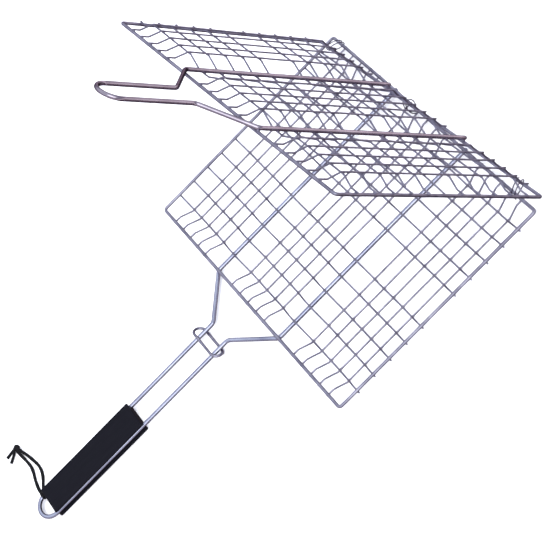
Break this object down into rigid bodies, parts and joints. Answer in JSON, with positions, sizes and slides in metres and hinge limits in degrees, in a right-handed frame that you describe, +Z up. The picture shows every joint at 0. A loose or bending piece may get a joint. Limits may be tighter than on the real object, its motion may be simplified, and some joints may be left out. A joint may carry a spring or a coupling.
{
  "type": "grill basket",
  "caption": "Folding wire grill basket: two hinged trough-shaped wire trays on bent rod handles, with a grooved grip, a sliding lock ring and a lace to hang it by.",
  "frame": {"origin": "the centre of the grip's underside, on the plane that the basket lies on", "axes": "+Y from the grip to the hinge, along the handle; +X across the tray, to the side away from the lanyard; +Z up, from the lower tray to the lid"},
  "size_m": [0.3237, 0.5182, 0.3197],
  "materials": {
    "rim_wire": "bright plated steel",
    "mesh_wire": "bright plated steel",
    "handle_rod": "bright plated steel",
    "lid_rod": "bright plated steel",
    "lock_ring_wire": "bright plated steel",
    "coil_wire": "dull drawn wire",
    "grip_wood": "black satin lacquer",
    "leather_lace": "dull black"
  },
  "bodies": {
    "basket": {"lower_rim": "rim_wire", "lower_cross_wire_1": "mesh_wire", "lower_cross_wire_2": "mesh_wire", "lower_cross_wire_3": "mesh_wire", "lower_cross_wire_4": "mesh_wire", "lower_cross_wire_5": "mesh_wire", "lower_cross_wire_6": "mesh_wire", "lower_cross_wire_7": "mesh_wire", "lower_cross_wire_8": "mesh_wire", "lower_cross_wire_9": "mesh_wire", "lower_cross_wire_10": "mesh_wire", "lower_long_wires_left": "mesh_wire", "lower_long_wires_middle": "mesh_wire", "lower_long_wires_right": "mesh_wire", "handle_rod": "handle_rod", "grip": "grip_wood", "lanyard_front_strand": "leather_lace", "lanyard_rear_strand": "leather_lace", "lanyard_knot": "leather_lace"},
    "hinge_coil_middle": {"hinge_coil_middle": "coil_wire"},
    "lid": {"lid_rim": "rim_wire", "lid_cross_wire_1": "mesh_wire", "lid_cross_wire_2": "mesh_wire", "lid_cross_wire_3": "mesh_wire", "lid_cross_wire_4": "mesh_wire", "lid_cross_wire_5": "mesh_wire", "lid_cross_wire_6": "mesh_wire", "lid_cross_wire_7": "mesh_wire", "lid_cross_wire_8": "mesh_wire", "lid_cross_wire_9": "mesh_wire", "lid_cross_wire_10": "mesh_wire", "lid_long_wires_left": "mesh_wire", "lid_long_wires_middle": "mesh_wire", "lid_long_wires_right": "mesh_wire", "lid_handle_rod": "lid_rod"},
    "hinge_coil_left": {"hinge_coil_left": "coil_wire"},
    "hinge_coil_right": {"hinge_coil_right": "coil_wire"},
    "lock_ring": {"lock_ring": "lock_ring_wire"}
  },
  "joints": [
    {"name": "lid_skew", "type": "hinge", "parent": "basket", "child": "hinge_coil_middle", "pos_m": [0, 0.4328, 0.01692], "axis": [0, 0, 1], "range_deg": [-8.4, 0]},
    {"name": "lid_swing", "type": "hinge", "parent": "hinge_coil_middle", "child": "lid", "pos_m": [0, 0.4328, 0.01692], "axis": [-0.9973, -0.0732, 0], "range_deg": [-60, 121]},
    {"name": "coil_left_lean", "type": "hinge", "parent": "basket", "child": "hinge_coil_left", "pos_m": [0, 0.4328, 0.00952], "axis": [1, 0, 0], "range_deg": [-110, 0]},
    {"name": "coil_right_lean", "type": "hinge", "parent": "basket", "child": "hinge_coil_right", "pos_m": [0, 0.4328, 0.00952], "axis": [1, 0, 0], "range_deg": [0, 104.5]},
    {"name": "lock_ring_slide", "type": "slide", "parent": "basket", "child": "lock_ring", "axis": [0, -1, 0], "range_m": [0, 0.086]}
  ],
  "couplings": [
    {"joint": "coil_left_lean", "follows": "lid_skew", "ratio": 13},
    {"joint": "coil_right_lean", "follows": "lid_skew", "ratio": -12.38}
  ]
}
